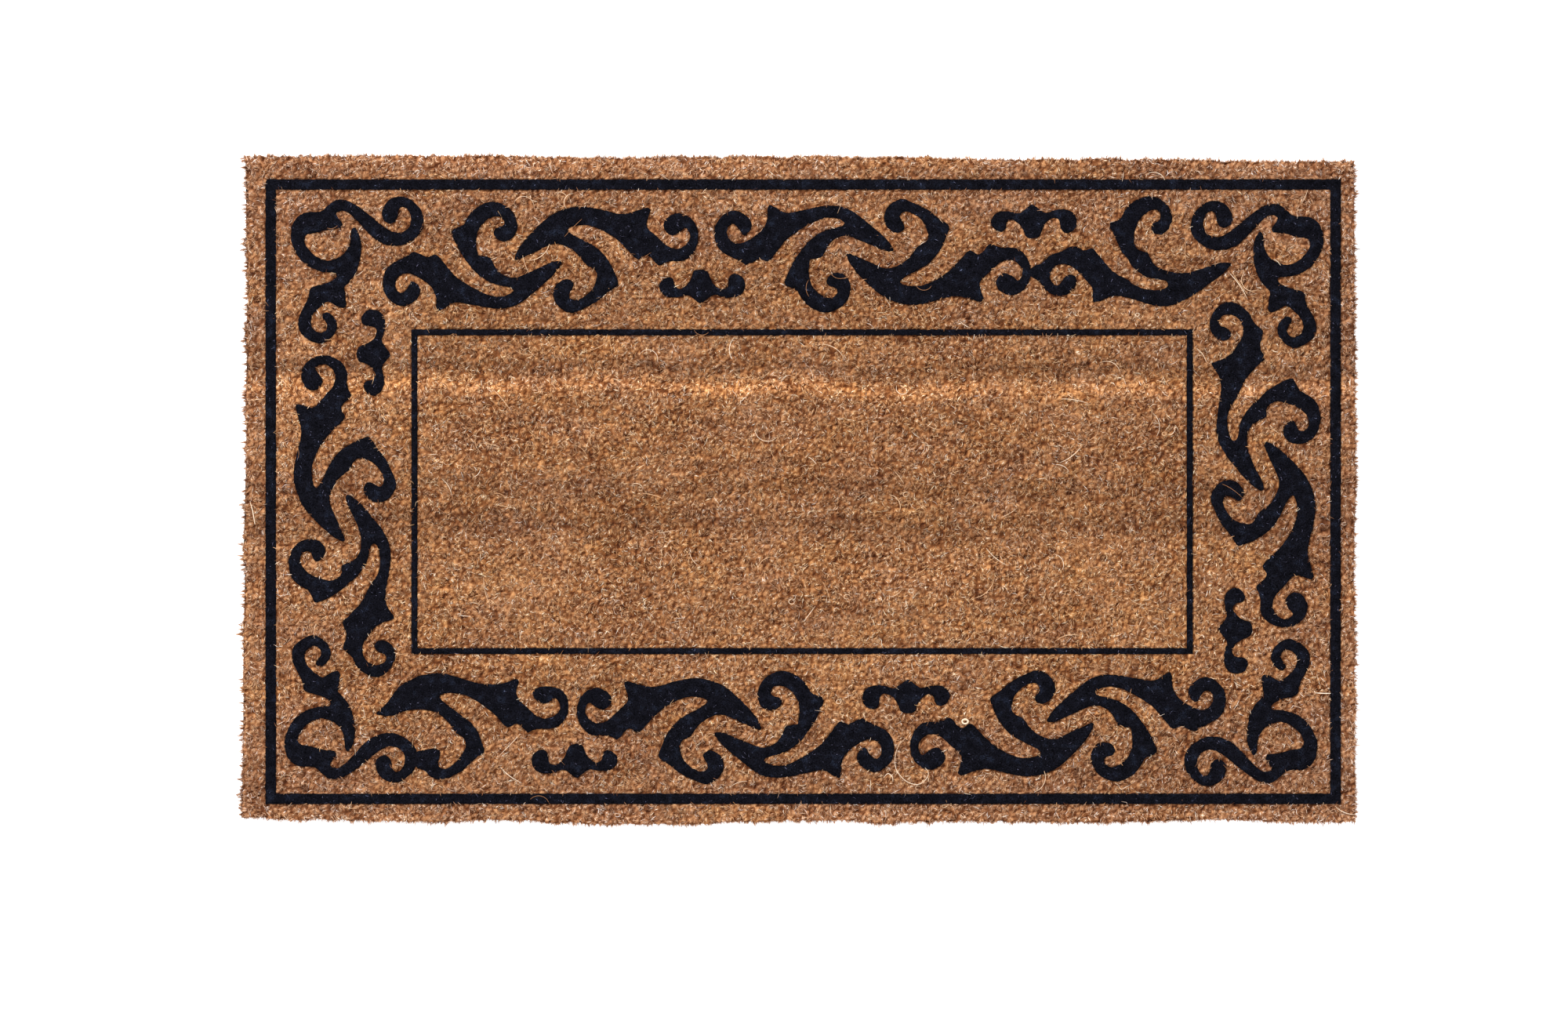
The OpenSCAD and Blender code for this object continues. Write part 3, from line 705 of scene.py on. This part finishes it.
def tip_points(per_tuft, length, radius, lean, loft):
    """Fibres of each tuft, lying over its dome: their points, radii and tints.

    Lean is how little they agree about the way they lie, and loft how far their ends may stand up.
    """
    # A share of the fibres is made dark brown as painted shade, standing for small shadowed gaps in the pile.
    over_print, pale, shadow_fibre_share = 0.12, 0.035, 0.12
    home = TUFTS.reshape(-1, 2)
    # Each tuft's shade is random, with painted light on top: tufts that stand higher are paler.
    shade = rng.normal(0, 0.045, LIFTS.size) + 0.03 * LIFTS.ravel()
    nap = math.pi * (0.5 + rng.integers(0, 2, len(home))) + 0.8 * sample(NAP, *home.T)
    nap += rng.normal(0, 0.7, len(home))
    cast = rng.normal(0, 0.1, len(home))
    keep = in_mat(home, 0.3)
    home, shade, nap, cast = (np.repeat(v[keep], per_tuft, 0) for v in (home, shade, nap, cast))
    n = len(home)

    angle = nap + rng.normal(0, lean, n)
    way = np.column_stack([np.cos(angle), np.sin(angle)])
    across = np.column_stack([-way[:, 1], way[:, 0]])
    length = rng.gamma(8, length / 8, n)
    middle = home + across * rng.normal(0, 0.9, n)[:, None] + rng.normal(0, 0.5, (n, 2))
    half = way * (length * 0.5)[:, None]
    # A fibre that would run on to the print is trimmed; if it still does, it is left out. A few may lie over
    # the print's edge.
    over = (rng.random(n) < over_print) & clear_of_print(middle)
    half[~clear_of_print(middle - half, middle, middle + half) & ~over] *= 0.4
    start, end = middle - half, middle + half
    a = np.column_stack([start, pile_top(*start.T) - rng.uniform(0, 0.6, n)])
    b = np.column_stack([end, pile_top(*end.T) + rng.uniform(-0.2, loft, n)])
    for low, place in ((a, start), (b, end)):
        crossing = over & ~clear_of_print(place)
        low[crossing, 2] = print_top(*place[crossing].T) + 0.2
    level = (a[:, 2] + b[:, 2]) / 2
    top = np.maximum(pile_top(*middle.T), level) + rng.uniform(0, 0.5, n)
    points = bent(a, b, 2 * (top - level), rng.normal(0, 0.2, n))

    value = rng.normal(0.51, 0.215, n) + shade
    odd = rng.random(n)
    value[odd < pale] += 0.3
    value[odd > 1 - shadow_fibre_share] -= 0.38
    hues = np.clip(hue(*middle.T) + cast + rng.normal(0, 0.2, n), 0, 1)
    tint = np.column_stack([np.clip(value, 0, 1), hues, tone(*middle.T)])
    ok = (clear_of_print(start, middle, end) | over) & in_mat(start, -0.8) & in_mat(end, -0.8)
    return points[ok], rng.uniform(*radius, n)[ok], tint[ok]


def fringe_points(side):
    """Fibres of one cut edge, standing in the pile's side and leaning out of it."""
    along_x = side in ("top", "bottom")
    reach = HALF_X if along_x else HALF_Y
    n = int(2 * reach * FRINGE_PER_MM)
    t = rng.uniform(-reach, reach, n)
    sign = 1.0 if side in ("top", "right") else -1.0
    low = rng.uniform(PILE_LO[2] - 0.6, PILE_HI[2] - 3, n)
    high = np.minimum(low + rng.uniform(2.5, 8, n), PILE_HI[2] + rng.uniform(-1.5, 0.4, n))
    inset = rng.uniform(0, 0.7, n)
    lean = rng.gamma(1.6, 0.4, n) - 0.5
    end_t = np.clip(t + rng.normal(0, 0.8, n), -reach, reach)
    edge = edge_y if along_x else edge_x
    start = np.column_stack([t, edge(t, sign, 0) - sign * inset, low])
    end = np.column_stack([end_t, edge(end_t, sign) + sign * lean, high])
    if not along_x:
        start, end = start[:, [1, 0, 2]], end[:, [1, 0, 2]]
    x, y = start[:, 0], start[:, 1]
    tint = np.column_stack([np.clip(rng.normal(0.46, 0.18, n), 0, 1),
                            np.clip(hue(x, y) + rng.normal(-0.1, 0.12, n), 0, 1), tone(x, y)])
    points = bent(start, end, rng.uniform(-0.4, 0.4, n), rng.normal(0, 0.1, n))
    ok = in_mat(start[:, :2], 0)
    return points[ok], rng.uniform(0.18, 0.36, n)[ok], tint[ok]


def coir_tips():
    """All the loose tips, in strips with the same number of fibres, counted from the left."""
    locks = tip_points(per_tuft=5, length=2.7, radius=(0.15, 0.3), lean=0.9, loft=0.5)
    fibres = tip_points(per_tuft=2, length=3.9, radius=(0.12, 0.23), lean=2.5, loft=1.0)
    fringe = [fringe_points(side) for side in EDGES]
    points, radius, tint = (np.concatenate(p) for p in zip(locks, fibres, *fringe))
    strip = np.argsort(np.argsort(points[:, 0, 1])) * TIP_STRIPS // len(points)
    for k in range(TIP_STRIPS):
        mine = strip == k
        piece = mesh_object(f"coir_tips_{k + 1}", *strands(points[mine], radius[mine], tint[mine]))
        finish_piece(piece, COIR_FIBRE, "coir_pile")


coir_tips()


# ---------------------------------------------------------------- stray long fibres


def stray(path, radius, pale, n=22):
    """One long loose fibre through a few points (x, y, height above the pile), smoothed."""
    path = np.array(path, float)
    t = np.linspace(0, len(path) - 1, n)
    k = np.clip(t.astype(int), 0, len(path) - 2)
    f = (t - k)[:, None]
    before, after = path[np.maximum(k - 1, 0)], path[np.minimum(k + 2, len(path) - 1)]
    a, b = path[k], path[k + 1]
    slope_a, slope_b = (b - before) / 2, (after - a) / 2
    p = (2 * f**3 - 3 * f**2 + 1) * a + (f**3 - 2 * f**2 + f) * slope_a
    p += (3 * f**2 - 2 * f**3) * b + (f**3 - f**2) * slope_b
    p[:, 2] += PILE_HI[2] - 0.2
    return p, radius, pale


def curl(x, y, size, turns=1.2):
    """The path of a fibre curled up at the surface, as a flattened spiral that tightens as it goes."""
    steps = 12
    reach = size * np.linspace(1, 0.55, steps)
    angle = np.linspace(0, turns * TURN, steps)
    height = np.linspace(0.2, 0.8, steps)
    return np.column_stack([x + reach * np.cos(angle), y + 0.8 * reach * np.sin(angle), height])


def noticed_fibres():
    """The loose fibres that stand out: a big loop low right of the middle, and some shorter ones."""
    loop = [(73, -170, 0.2), (68, -175, 1), (65.5, -183, 1.5), (66, -191, 1.5), (70, -197, 1.5),
            (74.5, -200.5, 1.2), (80.5, -202, 1.2), (85, -200, 1), (88, -196, 0.8), (88, -193, 0.6),
            (86, -190.5, 0.2)]
    return [
        stray(loop, 0.22, 0.9, 34),
        stray([(-216.5, -60, 0.2), (-216, -66, 0.8), (-214.5, -73, 0.8), (-212, -79, 0.2)], 0.16, 0.8, 12),
        stray([(6, 22.3, 0.3), (9, 20.5, 0.8), (11.5, 17.5, 0.3)], 0.22, 0.9, 8),
        stray([(272, 97, 0.2), (276, 93, 0.9), (279, 87, 0.3)], 0.2, 0.85, 10),
        stray(curl(113.5, -158.8, 2.7, 2.3), 0.4, 0.88, 40),
        stray(curl(62, -156, 3, 1.4), 0.2, 0.8, 28),
        stray(curl(27, -145.4, 2.2), 0.2, 0.85, 24),
        stray([(353, -139.2, 0.4), (358.5, -139.5, 1), (364, -139.6, 0.4)], 0.3, 1.0, 8),
        stray([(-376.5, -8, 0.2), (-374.5, -15, 1), (-373, -24, 0.4)], 0.3, 0.9, 12),
        stray([(57.5, -197.5, 0.3), (60.5, -194.5, 1), (63.5, -196.5, 1), (64, -200, 0)], 0.26, 0.9, 18),
    ]


def scattered_fibres():
    """Long fibres anywhere on the mat: pale on the coir, and a few dull ones on the print."""
    found = []
    for k in range(LONG_FIBRES):
        x = rng.uniform(-HALF_X + 12, HALF_X - 12)
        y = rng.uniform(-HALF_Y + 8, HALF_Y - 8)
        heading, bend, step = rng.uniform(0, TURN), rng.normal(0, 0.5), rng.uniform(2.2, 5.5)
        path = [(x, y, -0.6)]
        for i in range(4):
            x, y = x + step * math.cos(heading), y + step * math.sin(heading)
            heading += bend
            path.append((x, y, 0.3 + 0.4 * math.sin(i * 1.3)))
        path[-1] = (x, y, -0.5)
        middle = np.array(path)[1:-1]
        if (sample(NEAR_PRINT, middle[:, 0], middle[:, 1]) > 0.3).mean() < 0.1:
            found.append(stray(path, rng.uniform(0.13, 0.24), rng.uniform(0.6, 0.95)))
        elif k % 6 == 0:
            found.append(stray(path, 0.13, 0.35))
    return found


def scattered_curls():
    """Small curls anywhere on the coir."""
    found = []
    for _ in range(CURLS):
        x, y = rng.uniform(-HALF_X + 12, HALF_X - 12), rng.uniform(-HALF_Y + 8, HALF_Y - 8)
        path = curl(x, y, rng.uniform(1.2, 2.8), rng.uniform(0.6, 1.3))
        if clear_of_print(path).all():
            found.append(stray(path, rng.uniform(0.14, 0.22), rng.uniform(0.7, 0.92)))
    return found


def stray_fibres():
    """All the stray fibres as one piece, each in its own cell of the UV square."""
    strays = noticed_fibres() + scattered_fibres() + scattered_curls()
    grid = int(math.ceil(math.sqrt(len(strays))))
    verts, tris, quads, tri_uv, quad_uv, tints, count = [], [], [], [], [], [], 0
    for k, (path, radius, pale) in enumerate(strays):
        tint = np.array([[pale, 0.6, 0.5]])
        v, t, q, uv, c = strands(path[None], np.array([radius]), tint, sides=5, tip=0.5)
        uv = (uv + [k % grid, k // grid]) / grid
        verts.append(v)
        tris.append(t + count)
        quads.append(q + count)
        tri_uv.append(uv[: t.size])
        quad_uv.append(uv[t.size:])
        tints.append(c)
        count += len(v)
    verts, tris, quads, uv, tints = (np.concatenate(p) for p in (verts, tris, quads, tri_uv + quad_uv, tints))
    piece = mesh_object("stray_fibres", verts, tris, quads, uv, tints)
    finish_piece(piece, COIR_FIBRE, "coir_pile")


stray_fibres()


# ---------------------------------------------------------------- the flocked print


def uneven_outlines(name):
    """An island's outlines with short sides, a little uneven."""
    edge = []
    for loop in LOOPS[name]:
        loop = resampled(loop, FLOCK_STEP)
        edge.append(loop + outward(loop) * np.clip(rng.normal(0, 0.1, len(loop)), -0.25, 0.25)[:, None])
    return edge


def flock_surface(edge, soft):
    """The matted layer of an island, seen from above: its places and its upward faces."""
    ring = np.concatenate(edge)
    lo, hi = ring.min(0), ring.max(0)
    gx, gy = np.meshgrid(np.arange(lo[0], hi[0], FLOCK_PITCH), np.arange(lo[1], hi[1], FLOCK_PITCH))
    fill = np.column_stack([gx.ravel(), gy.ravel()]) + rng.uniform(-0.5, 0.5, (gx.size, 2))
    fill = fill[sample(soft, *fill.T) > 0.93]
    flat, faces, _ = triangulated(np.concatenate([ring, fill]), edge)
    used, faces = np.unique(faces, return_inverse=True)
    return flat[used], faces.reshape(-1, 3)


def flock_fibres(flat, faces, soft):
    """Short dark fibres that lie over the matted layer: their points, radii and tints."""
    area = np.abs(areas(flat, faces))
    many = int(area.sum() / PRINT_PER_FIBRE)
    pick = rng.choice(len(faces), many, p=area / area.sum())
    root = np.einsum("nk,nkd->nd", rng.dirichlet((1, 1, 1), many), flat[faces[pick]])
    angle, length = rng.uniform(0, TURN, many), rng.uniform(0.7, 3.0, many)
    tip = root + np.column_stack([np.cos(angle), np.sin(angle)]) * length[:, None]
    ok = sample(soft, *tip.T) > 0.6
    root, tip = root[ok], tip[ok]
    n = len(root)
    a = np.column_stack([root, print_top(*root.T) - 0.25])
    b = np.column_stack([tip, print_top(*tip.T) + rng.uniform(-0.05, 0.3, n)])
    points = bent(a, b, rng.uniform(0.0, 0.3, n), rng.normal(0, 0.15, n))
    tint = np.column_stack([rng.beta(1.6, 3.5, n), np.full(n, 0.5), np.ones(n)])
    tint[rng.random(n) < 0.04, 0] = 1.0
    return points, rng.uniform(0.12, 0.26, n), tint


def flock_uv(edge, corners, share, corner):
    """UVs of an island seen from above, filling a share of the UV square, from this corner of it on."""
    ring = np.concatenate(edge)
    lo = ring.min(0)
    size = max(ring.max(0) - lo) + 2
    return corner + share * (corners[..., :2] - lo + 1) / size


def printed_island(name):
    """One island of flock: a thin matted layer over the tufts, with short dark fibres on it."""
    soft = blurred(filled(LOOPS[name]), 0.5)
    edge = uneven_outlines(name)
    flat, faces = flock_surface(edge, soft)
    n = len(flat)
    rim = np.array(open_sides(faces.tolist()))
    on_rim = np.zeros(n, bool)
    on_rim[rim.ravel()] = True
    z = print_top(*flat.T) + rng.normal(0, 0.05, n) - FLOCK_RIM * on_rim
    top = np.column_stack([flat, z])
    under = np.column_stack([flat, z - FLOCK_THICK])
    walls = np.stack([rim[:, 1], rim[:, 0], rim[:, 0] + n, rim[:, 1] + n], -1)
    fibres, radius, shade = flock_fibres(flat, faces, soft)
    fibre_verts, fibre_tris, fibre_quads, _, fibre_tint = strands(fibres, radius, shade)

    # Each fibre's faces take a tiny patch of the UV square, at its own place on the layer.
    main, tiny = (0.88, (0.005, 0.005)), 0.004
    base = flock_uv(edge, fibres[:, 1], *main)
    small_tri = np.array([[0, 0], [tiny, 0], [tiny / 2, tiny]])
    small_quad = np.array([[0, 0], [0, tiny], [tiny, tiny], [tiny, 0]])
    per_fibre = len(fibre_quads) // len(base)
    uv = [flock_uv(edge, top[faces], *main),
          flock_uv(edge, under[faces][:, ::-1], 0.09, (0.9, 0.9)),
          np.tile(base, (2, 1))[:, None] + small_tri,
          flock_uv(edge, np.concatenate([top, under])[walls], 0.09, (0.9, 0.8)),
          np.repeat(base, per_fibre, 0)[:, None] + small_quad]

    verts = np.concatenate([top, under, fibre_verts])
    tris = np.concatenate([faces, faces[:, ::-1] + n, fibre_tris + 2 * n])
    quads = np.concatenate([walls, fibre_quads + 2 * n])
    layer_tint = np.tile([0.35, 0.5, 0.5, 1.0], (2 * n, 1))
    piece = mesh_object(f"print_{name}", verts, tris, quads, np.concatenate([u.reshape(-1, 2) for u in uv]),
                        np.concatenate([layer_tint, fibre_tint]))
    finish_piece(piece, FLOCK, name)


for name in PRINTS:
    printed_island(name)


# ---------------------------------------------------------------- the vinyl backing


def vinyl_at(side, places):
    """How far from the middle the vinyl ends on one side; the coir frays a little beyond it."""
    return np.interp(places, *np.array(CUTS[side]).T) - VINYL_SHORT[side]


def vinyl_outline():
    """The sheet's outline, with rounded corners, along the crooked cuts."""
    corner, step = 3.0, 2.0
    outline = []
    for begin, sx, sy in ((0, 1, 1), (90, -1, 1), (180, -1, -1), (270, 1, -1)):
        for a in range(begin, begin + 91, 15):
            outline.append((sx * (HALF_X - corner) + corner * math.cos(math.radians(a)),
                            sy * (HALF_Y - corner) + corner * math.sin(math.radians(a))))
    outline = resampled(np.array(outline), step)
    x, y = outline.T
    return np.column_stack([x * np.where(x < 0, vinyl_at("left", y), vinyl_at("right", y)) / HALF_X,
                            y * np.where(y < 0, vinyl_at("bottom", x), vinyl_at("top", x)) / HALF_Y])


def backing():
    """A thin sheet, cut with the pile, with a slightly uneven edge and a soft lip."""
    outline = vinyl_outline()
    away = outward(outline)
    wave = 0.12 * sample(FRAY, *outline.T * 0.95)[:, None]
    n = len(outline)
    thick = PILE_LO[2]
    # The lip, as (distance out of the outline, height), from the underside to the top.
    lip = [(-0.9, 0.0), (-0.35, 0.0), (-0.05, 0.35), (0.0, 1.2), (0.0, 2.2), (-0.1, thick - 0.25),
           (-0.5, thick), (-1.5, thick)]
    rings = [np.column_stack([outline + away * (d + wave), np.full(n, z)]) for d, z in lip]
    here = np.arange(n)
    following = np.roll(here, -1)
    quads = [np.stack([here, following, following + n, here + n], -1) + k * n for k in range(len(lip) - 1)]

    # The underside and the top are even meshes within the first and the last ring.
    inset, pitch = 9, 12
    gx, gy = np.meshgrid(np.arange(-HALF_X + inset, HALF_X - inset + 1, pitch),
                         np.arange(-HALF_Y + inset, HALF_Y - inset + 1, pitch))
    within = np.column_stack([gx.ravel(), gy.ravel()])
    verts, tris = np.concatenate(rings), []
    for level in (0, len(lip) - 1):
        rim = rings[level][:, :2]
        flat, faces, source = triangulated(np.concatenate([rim, within]), [rim])
        if level == 0:
            faces = faces[:, ::-1]
        extra = np.flatnonzero(source >= n)
        number = np.full(len(flat), -1)
        number[source < n] = source[source < n] + level * n
        number[extra] = len(verts) + np.arange(len(extra))
        verts = np.concatenate([verts, np.column_stack([flat[extra], np.full(len(extra), lip[level][1])])])
        tris.append(number[faces])
    piece = mesh_object("vinyl_sheet", verts, np.concatenate(tris), np.concatenate(quads))
    finish_piece(piece, VINYL, "backing")
    return piece


backing()


# ---------------------------------------------------------------- floor, light and camera


def area_light(name, place, size, power):
    """A square soft light, aimed at the mat's middle."""
    lamp = bpy.data.lights.new(name, "AREA")
    lamp.shape = "SQUARE"
    lamp.size = size
    lamp.energy = power
    item = bpy.data.objects.new(name, lamp)
    item.location = place
    item.rotation_euler = (-Vector(place)).to_track_quat("-Z", "Y").to_euler()
    bpy.context.scene.collection.objects.link(item)


REACH = 6.0
floor_mesh = bpy.data.meshes.new("floor")
floor_corners = [(x * REACH, y * REACH, 0) for x, y in ((-1, -1), (1, -1), (1, 1), (-1, 1))]
floor_mesh.from_pydata(floor_corners, [], [(0, 1, 2, 3)])
floor = bpy.data.objects.new("floor", floor_mesh)
bpy.context.scene.collection.objects.link(floor)
floor_material, _, floor_shader = node_material("floor")
floor_shader.inputs["Base Color"].default_value = (0.9, 0.9, 0.9, 1)
floor_shader.inputs["Roughness"].default_value = 0.9
floor_shader.inputs["Emission Color"].default_value = (1, 1, 1, 1)
floor_shader.inputs["Emission Strength"].default_value = 0.35
floor_mesh.materials.append(floor_material)

area_light("key", (-1.1, 1.4, 2.0), size=1.4, power=70)
area_light("fill", (1.2, -0.9, 2.4), size=2.2, power=20)
world = bpy.data.worlds.new("studio")
bpy.context.scene.world = world
world.use_nodes = True
world.node_tree.nodes["Background"].inputs[0].default_value = (1, 1, 1, 1)
world.node_tree.nodes["Background"].inputs[1].default_value = 1.0
bpy.context.scene.view_settings.view_transform = "Standard"

# The camera looks straight down from far off. The mat takes this share of the frame's width, and its middle
# is right of and above the frame's, by these shares of the same width.
HEIGHT = 5.0
SENSOR = 36.0
MAT_SHARE = 0.7095
MAT_RIGHT = 0.009875
MAT_UP = 0.0165
camera = bpy.data.cameras.new("camera")
camera.sensor_fit = "HORIZONTAL"
camera.sensor_width = SENSOR
width = 2 * HALF_X * MM / MAT_SHARE
camera.lens = SENSOR * (HEIGHT - FLOCK_TOP * MM) / width
camera.clip_end = 30
eye = bpy.data.objects.new("camera", camera)
eye.location = (-MAT_RIGHT * width, -MAT_UP * width, HEIGHT)
bpy.context.scene.collection.objects.link(eye)
bpy.context.scene.camera = eye
